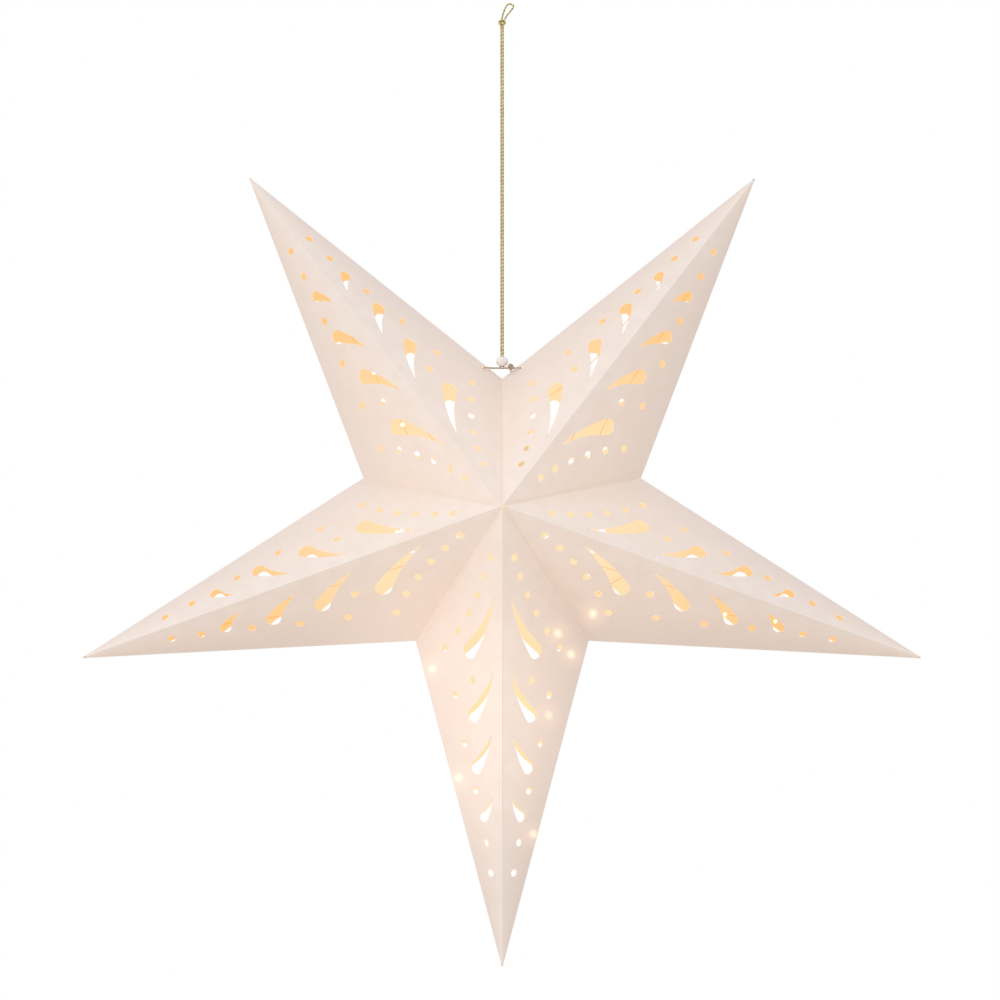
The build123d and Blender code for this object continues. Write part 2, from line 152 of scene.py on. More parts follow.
floor_place = (0, 0, star_middle.z - floor_drop)
bpy.ops.mesh.primitive_plane_add(size=floor_width, location=floor_place)
floor = bpy.context.object
floor.name = "floor"
bpy.context.scene.view_settings.view_transform = "Standard"

# %% [markdown]
# Materials need colours. They are written as a picture shows them, from 0 to 255, and turned into
# the linear values that Blender mixes.

# %% Colours


def colour(red, green, blue):
    """A colour as a picture shows it, as linear values with a full alpha."""
    shares = [value / 255 for value in (red, green, blue)]
    linear = [s / 12.92 if s <= 0.04045 else ((s + 0.055) / 1.055) ** 2.4 for s in shares]
    return (*linear, 1)


def mixed(tree, share, first, second, kind="MIX"):
    """Two colours, mixed by a share from 0 to 1."""
    made = node(tree, "Mix", {0: share, 6: first, 7: second}, data_type="RGBA", blend_type=kind)
    return made.outputs[2]


def ramp(tree, value, low, high, to_low=0.0, to_high=1.0):
    """A smooth step from one value to another while the input goes from low to high."""
    ends = {0: value, 1: low, 2: high, 3: to_low, 4: to_high}
    return node(tree, "MapRange", ends, interpolation_type="SMOOTHSTEP").outputs[0]


def finish_of(name, **sockets):
    """A new material, its nodes and its main shader, with some of the shader's sockets set."""
    made = bpy.data.materials.new(name)
    made.use_nodes = True
    shader = made.node_tree.nodes["Principled BSDF"]
    for socket, value in sockets.items():
        shader.inputs[socket.replace("_", " ")].default_value = value
    return made, made.node_tree, shader


floor_finish, tree, shader = finish_of("floor_paint", Roughness=0.9)
grain = node(tree, "TexNoise", {"Scale": 3.0, "Detail": 3.0})
pale = mixed(tree, grain.outputs["Fac"], colour(238, 229, 220), colour(232, 223, 214))
tree.links.new(pale, shader.inputs["Base Color"])
floor.data.materials.append(floor_finish)
print("floor at", round(floor.location.z, 3))

# %% [markdown]
# A cord is a fixed length of something soft, so its line comes first. The line is a smooth free
# curve whose control points are the route of the CAD cord: up from the bead, through the knot,
# round the loop and back down beside itself. The long straight runs get one more point each, just
# below the knot, because a smooth curve would otherwise start to bend halfway down. The places are
# given in millimetres from the middle of the star.

# %% Lines of the cords
cord_width = 1.35 * mm
seam_cord_width = 1.0 * mm
strand = 0.725
seam_height = 113.457
foot = seam_height + 1.5
cord_rise = 260.5
knot_height = seam_height + cord_rise
left_bend = knot_height + 2.6
right_bend = knot_height + 2.3
next_point = 12.8
loop_rise = 13.6
loop_slope = 0.16


def smooth_line(name, places, steps):
    """A smooth curve through the route, and the points along it."""
    curve = bpy.data.curves.new(name, "CURVE")
    curve.dimensions = "3D"
    curve.resolution_u = steps
    spline = curve.splines.new("NURBS")
    spline.points.add(len(places) - 1)
    for point, place in zip(spline.points, places):
        point.co = (*place, 1)
    spline.order_u = 3
    spline.use_endpoint_u = True
    holder = bpy.data.objects.new(name, curve)
    bare = bpy.data.meshes.new_from_object(holder)
    line = np.array([vertex.co for vertex in bare.vertices])
    bpy.data.meshes.remove(bare)
    return holder, line


def in_row(places):
    """Places given from the middle of the star in millimetres, in the frame of the model."""
    return [star_middle + Vector(place) * mm for place in places]


def from_loop(x, down):
    """A place on the cord's middle line near the loop, from the hook."""
    return (hook_right + x, 0, knot_height + loop_rise + cord_width / mm / 2 - down)


def length_of(line):
    return float(np.linalg.norm(np.diff(line, axis=0), axis=1).sum())


hanging_route = [
    (-strand, 0, foot),
    (-strand, 0, left_bend - next_point),
    (-strand, 0, left_bend),
    from_loop(-2.6, -2.6 * loop_slope),
    from_loop(1.8, 1.8 * loop_slope),
    from_loop(2.9, 2.3),
    (strand, 0, right_bend),
    (strand, 0, right_bend - next_point),
    (strand, 0, foot),
]
_, hanging_line = smooth_line("hanging_line", in_row(hanging_route), 24)
print("hanging cord", round(length_of(hanging_line), 4))

# %% [markdown]
# A second, thinner cord closes the seam between the two upper points. It comes down out of the
# bead, goes through a hole in the front paper and one in the back paper of the left point, runs
# behind the seam, and comes back through the right point. Behind the paper it lies a little higher
# than it does in front.

# %% Line of the cord on the seam
seam_top = seam_height + 1.4
seam_front = seam_height - 0.4
hole_aside = 13.74
hole_inner_bend = hole_aside - 2.889
paper_half_way = 4.4
seam_half = [
    (-strand, 0, seam_top),
    (-strand, 0, seam_height),
    (-hole_inner_bend, -paper_half_way, seam_front),
    (-hole_aside, -paper_half_way, seam_front),
    (-hole_aside, paper_half_way, seam_height + 0.8),
]
seam_route = seam_half + [(-x, y, z) for x, y, z in reversed(seam_half)]
_, seam_line = smooth_line("seam_line", in_row(seam_route), 12)
print("seam cord", round(length_of(seam_line), 4))

# %% [markdown]
# The cords are twisted from thread. Fine noise stretched along the cord gives the threads,
# patches of painted glint lie over them, and some metal in the shader gives the gold cord its soft
# shine. Each cord has two finishes, one for most of its plies and a darker one, painted shade,
# for a ply that winds round it as a thin line, where the plies shade each other. The cord on the
# seam is duller and browner than the hanging cord.

# %% Finishes of the cords


def thread_finish(name, dark, light, bright, metal):
    """Twisted thread between a dark and a light colour, with patches of painted glint."""
    made, tree, shader = finish_of(name, Metallic=metal, Roughness=0.45)
    place = node(tree, "TexCoord").outputs["Object"]
    stretched = node(tree, "Mapping", {"Vector": place, "Scale": (1.0, 1.0, 0.35)}).outputs[0]
    threads = node(tree, "TexNoise", {"Vector": stretched, "Scale": 2600.0, "Detail": 2.0})
    threads = threads.outputs["Fac"]
    # Patches of painted glint on the thread.
    patches = node(tree, "TexNoise", {"Vector": place, "Scale": 260.0, "Detail": 1.0})
    patches = ramp(tree, patches.outputs["Fac"], 0.4, 0.75, 0.0, 0.5)
    base = mixed(tree, ramp(tree, threads, 0.35, 0.62), colour(*dark), colour(*light))
    base = mixed(tree, patches, base, colour(*bright))
    tree.links.new(base, shader.inputs["Base Color"])
    lumps = node(tree, "Bump", {"Height": threads, "Strength": 0.5, "Distance": 0.0001})
    tree.links.new(lumps.outputs[0], shader.inputs["Normal"])
    return made


# The second finish of each cord is painted shade, for the ply that the other plies shade.
gold_finishes = (
    thread_finish("twisted_gold_cord", (182, 162, 84), (232, 218, 142), (250, 241, 190), 0.3),
    thread_finish("gold_cord_ply_painted_shade", (112, 94, 36), (152, 132, 60), (184, 164, 90), 0.3),
)
brown_finishes = (
    thread_finish("twisted_brown_cord", (190, 168, 142), (216, 197, 172), (232, 216, 194), 0.1),
    thread_finish("brown_cord_ply_painted_shade", (128, 108, 86), (156, 136, 112), (176, 157, 132), 0.1),
)
print("cord finishes", [finish.name for finish in gold_finishes + brown_finishes])

# %% [markdown]
# Plies wind round the line, a turn every few millimetres. Each ply is a bevelled curve that
# follows points read from the smooth line, and the plies of a cord are turned into one mesh. Where
# a cut end is left free, they spread a little.

# %% Winding the cord
gold_turn = 2.7 * mm
brown_turn = 2.2 * mm
points_of_turn = 9


def evenly(line, step):
    """The same line with points a fixed step apart."""
    along = np.concatenate([[0], np.cumsum(np.linalg.norm(np.diff(line, axis=0), axis=1))])
    at = np.linspace(0, along[-1], max(8, int(along[-1] / step)))
    return np.stack([np.interp(at, along, line[:, axis]) for axis in range(3)], axis=1), at


def side_ways(line):
    """At each point, two directions across the line that do not twist along it."""
    ahead = np.gradient(line, axis=0)
    ahead /= np.linalg.norm(ahead, axis=1)[:, None]
    side = np.cross(ahead[0], (0.31, 0.87, 0.38))
    sides = []
    for forward in ahead:
        side = side - forward * (side @ forward)
        side /= np.linalg.norm(side)
        sides.append(side.copy())
    sides = np.array(sides)
    return sides, np.cross(ahead, sides)


def wind_ply(curve, places, around, closed, finish):
    """One ply: a bevelled run of points at a distance round the line."""
    wind = places + around
    wind = wind[:-1] if closed else wind
    spline = curve.splines.new("POLY")
    spline.points.add(len(wind) - 1)
    spline.points.foreach_set("co", np.c_[wind, np.ones(len(wind))].ravel())
    spline.use_cyclic_u = closed
    spline.material_index = finish


def wound(name, lines, width, turn_every, finishes, plies=3, fray=0.0):
    """A cord of several wound plies along each line, as one mesh; the first has painted shade."""
    ply = width / 2 / (1 + 2 / 3**0.5)
    curve = bpy.data.curves.new(name, "CURVE")
    curve.dimensions = "3D"
    curve.bevel_depth = ply
    curve.bevel_resolution = 1
    curve.use_fill_caps = True
    for finish in finishes:
        curve.materials.append(finish)
    for line, closed in lines:
        places, at = evenly(line, turn_every / points_of_turn)
        one, other = side_ways(places)
        turns = at / turn_every
        if closed:
            turns = at / at[-1] * round(at[-1] / turn_every)
        spread = width / 2 - ply + fray * np.clip((at - at[-1] + width) / width, 0, 1)
        for number in range(plies):
            angle = 2 * pi * (turns + number / plies)
            around = one * np.cos(angle)[:, None] + other * np.sin(angle)[:, None]
            slot = 1 if number == 0 else 0
            wind_ply(curve, places, around * spread[:, None], closed, slot)
    made = bpy.data.objects.new(name, curve)
    bpy.context.collection.objects.link(made)
    bpy.ops.object.select_all(action="DESELECT")
    made.select_set(True)
    bpy.context.view_layer.objects.active = made
    bpy.ops.object.convert(target="MESH")
    made = bpy.context.object
    bpy.ops.object.shade_smooth()
    return made


hanging_piece = wound("twisted_cord", [(hanging_line, False)], cord_width, gold_turn, gold_finishes)
seam_piece = wound("twisted_cord_on_seam", [(seam_line, False)], seam_cord_width, brown_turn,
                   brown_finishes)
print("faces of the twisted cord", len(hanging_piece.data.polygons))

# %% [markdown]
# The knots are made of the same cords. In each, turns of cord cross round the strands that pass
# through, and the knot beside the bead has a short cut end that hangs down.

# %% Knots
top_knot_tilt = radians(42)
top_knot_radius = 2.175 * mm
tie_knot_tilt = radians(54)
tie_knot_radius = 1.1 / cos(tie_knot_tilt) * mm
tie_knot_right = 6.2
tie_knot_rise = 0.7
outer_turn = 1.2
outer_turn_tilt = 0.15
cut_end = 1.8 * mm
fray = 0.1 * mm


def ring_line(middle, wide, along, radius, tilt):
    """A closed turn of cord round a strand, tilted about the direction that it is wide in."""
    wide = Vector(wide).normalized()
    along = Vector(along).normalized()
    deep = along.cross(wide)
    deep = deep * cos(tilt) + along * sin(tilt)
    angles = np.linspace(0, 2 * pi, 97)
    return np.array([middle + wide * radius * cos(a) + deep * radius * sin(a) for a in angles])


def crossed_turns(middle, wide, along, radius, tilt):
    return [(ring_line(middle, wide, along, radius, way * tilt), True) for way in (-1, 1)]


top_middle = star_middle + Vector((0, 0, knot_height)) * mm
top_turns = crossed_turns(top_middle, (1, 0, 0), (0, 0, 1), top_knot_radius, top_knot_tilt)
top_knot = wound("top_knot_of_cord", top_turns, cord_width, gold_turn, gold_finishes)

tie_start = Vector((strand, 0, seam_height))
tie_end = Vector((hole_inner_bend, -paper_half_way, seam_front))
tie_way = (tie_end - tie_start).normalized()
tie_up = (Vector((0, 0, 1)) - tie_way * tie_way.z).normalized()
tie_middle = tie_start + tie_way * ((tie_knot_right - strand) / tie_way.x)
tie_place = star_middle + (tie_middle + Vector((0, 0, tie_knot_rise))) * mm
tie_turns = crossed_turns(tie_place, tie_up, tie_way, tie_knot_radius, tie_knot_tilt)
outer_line = ring_line(tie_place, tie_up, tie_way, tie_knot_radius * outer_turn, outer_turn_tilt)
tie_turns.append((outer_line, True))
tail_start = tie_place - tie_up * tie_knot_radius
tail_end = tail_start + Vector((0.1, -0.25, -0.96)) * cut_end
tie_turns.append((np.array([tail_start, tail_end]), False))
tie_knot = wound("tie_knot_of_cord", tie_turns, seam_cord_width, brown_turn, brown_finishes,
                 fray=fray)
print("faces of the knots", len(top_knot.data.polygons), len(tie_knot.data.polygons))

# %% [markdown]
# The wire of the lights is thin and hardly twisted, so one bevelled curve is enough. Its route
# goes from the battery case over the cord between the left holes, and then through all five
# points. Its lacquer is a gold brown, with slow changes along its length. A faint glow is painted
# on it as emission, for the light that the lights on it throw.

# %% Wire of the lights
wire_width = 0.45 * mm
wire_at_case = [(7.5, 8.1, 66.5), (7.5, 8.1, 75.5), (3, 6, 88), (-5.5, 2, 101)]
hooked_on = Vector((-hole_aside, 0, seam_height + 0.2))
wire_over_cord = [
    (3.5, 0.4, -4.1), (2.3, 0, -0.4), (-0.7, 0, 1.8), (-4.9, -0.6, 1.3), (-6.7, -2, -3.3),
]
wire_through_points = [
    (-14, -4, 98), (-2, -6, 87), (14, -12, 82), (38, -12, 92), (68, -8, 118), (89, -3, 146),
    (110, 1, 171), (126, 3, 188), (139, 4, 193), (144, 5, 183), (134, 7, 167), (117, 10, 140),
    (95, 13, 107), (72, 14, 71), (56, 10, 28), (52, -2, -12), (42, -14, -42), (87, -10, -68),
    (137, -8, -64), (182, -4, -70), (210, 1, -73), (227, 4, -73), (227, 5, -64), (210, 7, -55),
    (181, 9, -44), (140, 12, -33), (100, 12, -28), (52, 8, -62), (44, 2, -112), (24, -6, -152),
    (26, 0, -196), (17, 0, -230), (9, 0, -246), (-2, 1, -251), (-9, 0, -242), (-14, -2, -224),
    (-20, -4, -198), (-36, 0, -158), (-44, -2, -118), (-54, 0, -82), (-90, -6, -58),
    (-132, -10, -66), (-176, -4, -70), (-202, 1, -74), (-218, 4, -72), (-219, 6, -63),
    (-204, 8, -55), (-176, 10, -46), (-132, 10, -36), (-92, 8, -22), (-60, 3, 10), (-62, -4, 52),
    (-82, -6, 90), (-104, -4, 128), (-128, 0, 166),
]
wire_over_cord = [hooked_on + Vector(place) for place in wire_over_cord]
wire_route = in_row(wire_at_case + wire_over_cord + wire_through_points)
wire, wire_line = smooth_line("fine_wire_of_lights", wire_route, 10)
bpy.context.collection.objects.link(wire)
wire.data.bevel_depth = wire_width / 2
wire.data.bevel_resolution = 1
wire.data.use_fill_caps = True

wire_finish, tree, shader = finish_of("lacquered_wire", Metallic=0.85, Roughness=0.3)
place = node(tree, "TexCoord").outputs["Object"]
spots = node(tree, "TexNoise", {"Vector": place, "Scale": 300.0, "Detail": 1.0}).outputs["Fac"]
lacquer = mixed(tree, ramp(tree, spots, 0.3, 0.7), colour(214, 166, 88), colour(240, 200, 122))
tree.links.new(lacquer, shader.inputs["Base Color"])
# A faint painted glow: the lacquer colour is also given as emission.
tree.links.new(lacquer, shader.inputs["Emission Color"])
shader.inputs["Emission Strength"].default_value = 0.3
wire.data.materials.append(wire_finish)
print("wire", round(length_of(wire_line), 3))

# %% [markdown]
# The bead that slides on the cord is a pearly ball, a little flattened, with a hole through it. It
# is modelled from a sphere: the caps at its poles are taken off, the two open rims are drawn in to
# the size of the hole and bridged by a tube, and the sharp edges there are rounded.

# %% Bead
bead_width = 9.0 * mm
bead_height = 7.7 * mm
bead_bore = 1.55 * mm
bead_middle = sum(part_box("bead"), Vector()) / 2

bpy.ops.object.select_all(action="DESELECT")
bpy.ops.mesh.primitive_uv_sphere_add(segments=48, ring_count=24, radius=bead_width / 2)
bead = bpy.context.object
bead.name = "pearly_bead"
bpy.ops.object.mode_set(mode="EDIT")
bpy.ops.transform.resize(value=(1, 1, bead_height / bead_width))
bpy.ops.mesh.select_all(action="DESELECT")
bpy.ops.object.mode_set(mode="OBJECT")
for face in bead.data.polygons:
    face.select = face.center.xy.length < 1.1 * bead_bore
bpy.ops.object.mode_set(mode="EDIT")
bpy.ops.mesh.select_mode(type="FACE")
bpy.ops.mesh.delete(type="FACE")
bpy.ops.mesh.select_mode(type="EDGE")
bpy.ops.mesh.select_non_manifold()
bpy.ops.object.mode_set(mode="OBJECT")
for vertex in bead.data.vertices:
    if vertex.select:
        vertex.co.xy = vertex.co.xy.normalized() * bead_bore
bpy.ops.object.mode_set(mode="EDIT")
bpy.ops.mesh.bridge_edge_loops()
bpy.ops.mesh.select_all(action="SELECT")
bpy.ops.mesh.normals_make_consistent(inside=False)
bpy.ops.object.mode_set(mode="OBJECT")
bead.data.transform(Matrix.Translation(bead_middle))
rim = bead.modifiers.new("rounded_rims", "BEVEL")
rim.width = 0.25 * mm
rim.segments = 3
rim.limit_method = "ANGLE"
rim.angle_limit = radians(40)
bpy.ops.object.modifier_apply(modifier=rim.name)
bpy.ops.object.shade_smooth()
print("bead faces", len(bead.data.polygons), "middle", [round(x, 4) for x in bead_middle])

# %% [markdown]
# Pearl is pale, slightly pink, and clouded under a clear coat. A slow noise gives the clouds, and
# a thin clear coat on top gives the sharp light spot. Towards its outline the bead is painted
# darker and bluer, as painted shade at its rim.

# %% Finish of the bead
pearl, tree, shader = finish_of("pink_pearl", Roughness=0.38, Coat_Weight=0.4, Coat_Roughness=0.12)
place = node(tree, "TexCoord").outputs["Object"]
clouds = node(tree, "TexNoise", {"Vector": place, "Scale": 330.0, "Detail": 2.0}).outputs["Fac"]
# Painted shade towards the outline of the bead.
facing = node(tree, "LayerWeight", {"Blend": 0.35}).outputs["Facing"]
pale = mixed(tree, ramp(tree, clouds, 0.35, 0.7), colour(242, 232, 230), colour(250, 243, 240))
pale = mixed(tree, ramp(tree, facing, 0.3, 0.95, 0.0, 0.5), pale, colour(212, 210, 220))
tree.links.new(pale, shader.inputs["Base Color"])
bead.data.materials.append(pearl)
print("bead finish", pearl.name)

# %% [markdown]
# Each piece is tied to the CAD body that carries it, and the CAD part that it stands for is
# hidden.

# %% Cords ride on their bodies
for piece, body, replaced, slot in (
    (hanging_piece, "hanger", "hanging_cord", "gold_cord"),
    (top_knot, "hanger", "top_knot", "gold_cord"),
    (seam_piece, "lantern", "seam_cord", "brown_cord"),
    (tie_knot, "lantern", "tie_knot", "brown_cord"),
    (wire, "lantern", "lights_wire", "fine_wire"),
    (bead, "bead", "bead", "pearl_bead"),
):
    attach(piece, body)
    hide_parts(replaced)

# %% [markdown]
# The star is five folded points of four panels each. Every panel is the same flat triangle with
# the same cut-outs, or its mirror image, so one flat drawing of a panel serves for them all: its
# tip is at the origin, its side edge lies along the first axis, and its ridge rises above that
# edge. This cell works out that drawing and the place of each panel.

# %% The flat panel and its twenty places
tip_radius = 300 / sin(2 * pi / 5) * mm
valley_radius = 105 * mm
half_depth = 85 * mm
paper = 0.4 * mm
tip_angles = {"upper_left": 126, "left": 198, "bottom": 270, "right": 342, "upper_right": 54}
sides = {
    "upper_left": ("right", "left"),
    "left": ("upper", "lower"),
    "bottom": ("left", "right"),
    "right": ("lower", "upper"),
    "upper_right": ("right", "left"),
}
apexes = {
    "front": star_middle - Vector((0, half_depth, 0)),
    "back": star_middle + Vector((0, half_depth, 0)),
}


def star_point(radius, angle):
    """A point of the star's middle plane."""
    return star_middle + Vector((cos(radians(angle)), 0, sin(radians(angle)))) * radius


def corners_of(point, face, number):
    """The tip, the valley's outer end and the apex of one panel."""
    turn = -36 if number == 0 else 36
    valley = star_point(valley_radius, tip_angles[point] + turn)
    return star_point(tip_radius, tip_angles[point]), valley, apexes[face]


def sheet_of(point, face, number):
    """Turns places on the flat panel into places in the model."""
    tip, valley, apex = corners_of(point, face, number)
    along = (valley - tip).normalized()
    inward = (apex - tip) - along * (apex - tip).dot(along)
    inward.normalize()
    outward = along.cross(inward)
    if outward.dot(apex - star_middle) < 0:
        outward = -outward
    return Matrix((along, inward, outward)).transposed().to_4x4().copy(), tip


def placed(sheet):
    turn, tip = sheet
    return Matrix.Translation(tip) @ turn


first_sheet = placed(sheet_of("bottom", "front", 0))
flat_tip, flat_valley, flat_apex = (
    first_sheet.inverted() @ corner for corner in corners_of("bottom", "front", 0)
)
ridge_angle = atan2(flat_apex.y, flat_apex.x)
crease = (flat_apex - flat_valley).normalized()
from_crease = Vector((-crease.y, crease.x, 0))
crease_start = from_crease.dot(flat_valley)
print("panel", round(flat_valley.x, 4), "long, ridge at", round(ridge_angle, 3), "radians")

# %% [markdown]
# Real paper is never quite flat: between its folds a panel bows out a little, and has slow
# ripples. The height of the sheet above its flat place is one smooth formula that is nothing at
# the folds. Its slope is worked out too, because the light on a sheet follows its slope, and the
# many narrow faces between the cut-outs would show as streaks if Blender worked out their shading
# alone.

# %% How a panel bows
bow = 0.6 * mm
ripple = 0.4 * mm
flat_border = 30 * mm
slope_step = 0.5 * mm


def bowed(place, seed):
    """How far the sheet stands out at a place of the flat panel."""
    from_side = place.y
    from_ridge = place.x * sin(ridge_angle) - place.y * cos(ridge_angle)
    from_valley = from_crease.dot(place) - crease_start
    fade = 1.0
    for distance in (from_side, from_ridge, from_valley):
        share = min(max(distance / flat_border, 0), 1)
        fade *= share * (2 - share)
    wave = noise.noise(Vector((place.x * 22, place.y * 22, seed)))
    return fade * (bow + ripple * wave)


def bowed_normal(place, seed):
    """Which way the bowed sheet faces, in the frame of the flat panel."""
    here = bowed(place, seed)
    slope_x = (bowed(place + Vector((slope_step, 0, 0)), seed) - here) / slope_step
    slope_y = (bowed(place + Vector((0, slope_step, 0)), seed) - here) / slope_step
    return Vector((-slope_x, -slope_y, 1)).normalized()


print("bow at the middle", round(bowed((flat_valley + flat_apex) / 3, 0.0), 5))

# %% [markdown]
# Each panel starts as a copy of the CAD panel, with its cut-outs. The CAD cuts the corners of the
# panels off, for folding, and here they are drawn out to true points again, so that no gaps show
# where ten corners meet. Then a grid of bisecting planes gives the sheet points to bow with.

# %% Pointed corners and a grid
grid = 12 * mm
side_way = Vector((1, 0, 0))
ridge_way = Vector((cos(ridge_angle), sin(ridge_angle), 0))


def crossing(one, one_way, other, other_way):
    """Where two lines of the flat panel cross."""
    across = Vector((-other_way.y, other_way.x, 0))
    return one + one_way * ((other - one).dot(across) / one_way.dot(across))


def draw_out_corners(panel, sheet):
    """Moves the ends of each blunt corner to where its two long edges cross."""
    to_flat = sheet.inverted()
    turn = to_flat.to_3x3()
    points = [to_flat @ vertex.co for vertex in panel.data.vertices]
    for corner, one_way, other_way in (
        (flat_tip, side_way, ridge_way),
        (flat_valley, side_way, crease),
        (flat_apex, crease, ridge_way),
    ):
        blunt = set()
        for face in panel.data.polygons:
            facing = turn @ face.normal
            slanted = min(abs(facing.dot(one_way)), abs(facing.dot(other_way))) > 0.1
            if slanted and abs(facing.z) < 0.3 and (to_flat @ face.center - corner).length < 4 * mm:
                blunt.update(face.vertices)
        one = min(blunt, key=lambda v: abs((points[v] - corner).cross(one_way).z))
        other = min(blunt, key=lambda v: abs((points[v] - corner).cross(other_way).z))
        point = crossing(points[one], one_way, points[other], other_way)
        for v in blunt:
            panel.data.vertices[v].co = sheet @ Vector((point.x, point.y, points[v].z))


def cut_across(sheet):
    """Bisects the sheet along and across, to give it points between its folds."""
    along_cuts = [(grid * step, 0) for step in range(1, int(flat_apex.x / grid) + 1)]
    inward_cuts = [(0, grid * step) for step in range(1, int(flat_apex.y / grid) + 1)]
    for x, y in along_cuts + inward_cuts:
        bpy.ops.mesh.select_all(action="SELECT")
        across = sheet.to_3x3() @ Vector((1, 0, 0) if x else (0, 1, 0))
        bpy.ops.mesh.bisect(plane_co=sheet @ Vector((x, y, 0)), plane_no=across)


print("cuts of a panel", int(flat_apex.x / grid) + int(flat_apex.y / grid))

# %% [markdown]
# The faces of a panel are sorted into the outside, the inside and the cut edges, each with a
# material slot of its own. A flat map of the surface lets fibres and fold marks follow the sheet.
# A number on the points says whether a glued flap lies behind the panel, for the faint band there.

# %% Panels of bowed paper
panels = {}
outside, inside, edges = 0, 1, 2


def sort_faces(panel, outward):
    panel.data.materials.clear()
    for _ in (outside, inside, edges):
        panel.data.materials.append(None)
    for face in panel.data.polygons:
        facing = face.normal.dot(outward)
        face.material_index = outside if facing > 0.7 else inside if facing < -0.7 else edges


def bow_sheet(panel, sheet, seed):
    """Moves the points of the sheet out, and gives its faces the normals of the smooth bow."""
    to_flat = sheet.inverted()
    turn = sheet.to_3x3()
    outward = turn @ Vector((0, 0, 1))
    flat_places = [to_flat @ vertex.co for vertex in panel.data.vertices]
    normals = [turn @ bowed_normal(place, seed) for place in flat_places]
    for vertex, place in zip(panel.data.vertices, flat_places):
        vertex.co += outward * bowed(place, seed)
    bpy.ops.object.shade_smooth_by_angle(angle=radians(35))
    own = [Vector()] * len(panel.data.loops)
    for face in panel.data.polygons:
        for loop in face.loop_indices:
            normal = normals[panel.data.loops[loop].vertex_index]
            if face.material_index != edges:
                own[loop] = normal if face.material_index == outside else -normal
    panel.data.normals_split_custom_set(own)
    return flat_places


def make_panel(point, face, number, seed):
    name = f"{point}_{face}_{sides[point][number]}"
    part = frame["nodes"][name]
    sheet = placed(sheet_of(point, face, number))
    panel = bpy.data.objects.new("paper_" + name, part.data.copy())
    bpy.context.collection.objects.link(panel)
    bpy.ops.object.select_all(action="DESELECT")
    panel.select_set(True)
    bpy.context.view_layer.objects.active = panel
    bpy.ops.object.mode_set(mode="EDIT")
    bpy.ops.mesh.select_all(action="SELECT")
    bpy.ops.mesh.remove_doubles(threshold=0.001 * mm)
    bpy.ops.object.mode_set(mode="OBJECT")
    draw_out_corners(panel, sheet)
    bpy.ops.object.mode_set(mode="EDIT")
    bpy.ops.mesh.select_all(action="SELECT")
    bpy.ops.mesh.remove_doubles(threshold=0.001 * mm)
    cut_across(sheet)
    bpy.ops.object.mode_set(mode="OBJECT")
    sort_faces(panel, sheet.to_3x3() @ Vector((0, 0, 1)))
    flat_places = bow_sheet(panel, sheet, seed)
    flat_map = panel.data.uv_layers.new(name="sheet")
    for loop in panel.data.loops:
        flat_map.data[loop.index].uv = flat_places[loop.vertex_index].xy
    doubled = panel.data.attributes.new("doubled", "FLOAT", "POINT")
    has_flap = number == 0 and point != "upper_left"
    doubled.data.foreach_set("value", [float(has_flap)] * len(flat_places))
    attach(panel, part["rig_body"])
    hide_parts(name)
    return panel


for seed, (point, face, number) in enumerate(
    (point, face, number) for point in tip_angles for face in apexes for number in (0, 1)
):
    panels[point, face, number] = make_panel(point, face, number, seed * 7.3)
print("panels", len(panels), "faces of one", len(panels["bottom", "front", 0].data.polygons))

# %% [markdown]
# Where two panels meet, the paper is folded, not cut. A fold is a thin curved strip: a narrow
# plane laid along the crease, whose edge is spun round the crease until it faces the other panel.
# Its two sides lie along the two panels. In a valley the
# strip lies on the inside of the paper, where the fold sticks out.

# %% Strips of folded paper
ridge_radius = paper + 0.006 * mm
valley_radius_of_fold = 0.02 * mm
ridge_reach = 0.45 * mm
valley_reach = 1.2 * mm
fold_depth = 0.16 * mm
bend_steps = 6


def crease_place(start, end, first_normal):
    """A frame whose first axis runs along a crease and whose third is the first panel's normal."""
    along = (end - start).normalized()
    across = first_normal.cross(along)
    frame_at = Matrix((along, across, first_normal)).transposed().to_4x4()
    return Matrix.Translation(start) @ frame_at


def finish_strip(strip, place):
    """Gives a strip its thickness, inwards, and puts it on its crease."""
    if sum(face.normal.z for face in strip.data.polygons) < 0:
        strip.data.flip_normals()
    wall = strip.modifiers.new("thickness", "SOLIDIFY")
    wall.thickness = fold_depth
    wall.offset = -1
    bpy.ops.object.modifier_apply(modifier=wall.name)
    strip.data.transform(place)
    bpy.ops.object.shade_smooth_by_angle(angle=radians(40))
    return strip


def fold_strip(name, start, end, first_normal, second_normal, radius, reach, half=False):
    """A strip of paper bent over a crease. With half, it stops in the middle of the bend."""
    along = (end - start).normalized()
    if first_normal.cross(second_normal).dot(along) < 0:
        start, end, along = end, start, -along
    turn = first_normal.angle(second_normal) * (0.5 if half else 1)
    bpy.ops.object.select_all(action="DESELECT")
    bpy.ops.mesh.primitive_plane_add(size=1)
    strip = bpy.context.object
    strip.name = name
    for vertex in strip.data.vertices:
        x, y, _ = vertex.co
        vertex.co = ((x + 0.5) * (end - start).length, (y + 0.5) * reach, radius)
    bpy.ops.object.mode_set(mode="EDIT")
    bpy.ops.mesh.select_all(action="DESELECT")
    bpy.ops.object.mode_set(mode="OBJECT")
    for edge in strip.data.edges:
        edge.select = all(abs(strip.data.vertices[v].co.y) < 1e-7 for v in edge.vertices)
    bpy.ops.object.mode_set(mode="EDIT")
    bpy.ops.mesh.spin(steps=bend_steps, angle=-turn, center=(0, 0, 0), axis=(1, 0, 0))
    if not half:
        last = Vector((0, -cos(turn), -sin(turn))) * reach
        bpy.ops.mesh.extrude_region_move(TRANSFORM_OT_translate={"value": last})
    bpy.ops.mesh.select_all(action="SELECT")
    bpy.ops.mesh.remove_doubles(threshold=1e-7)
    bpy.ops.mesh.normals_make_consistent(inside=False)
    bpy.ops.object.mode_set(mode="OBJECT")
    return finish_strip(strip, crease_place(start, end, first_normal))


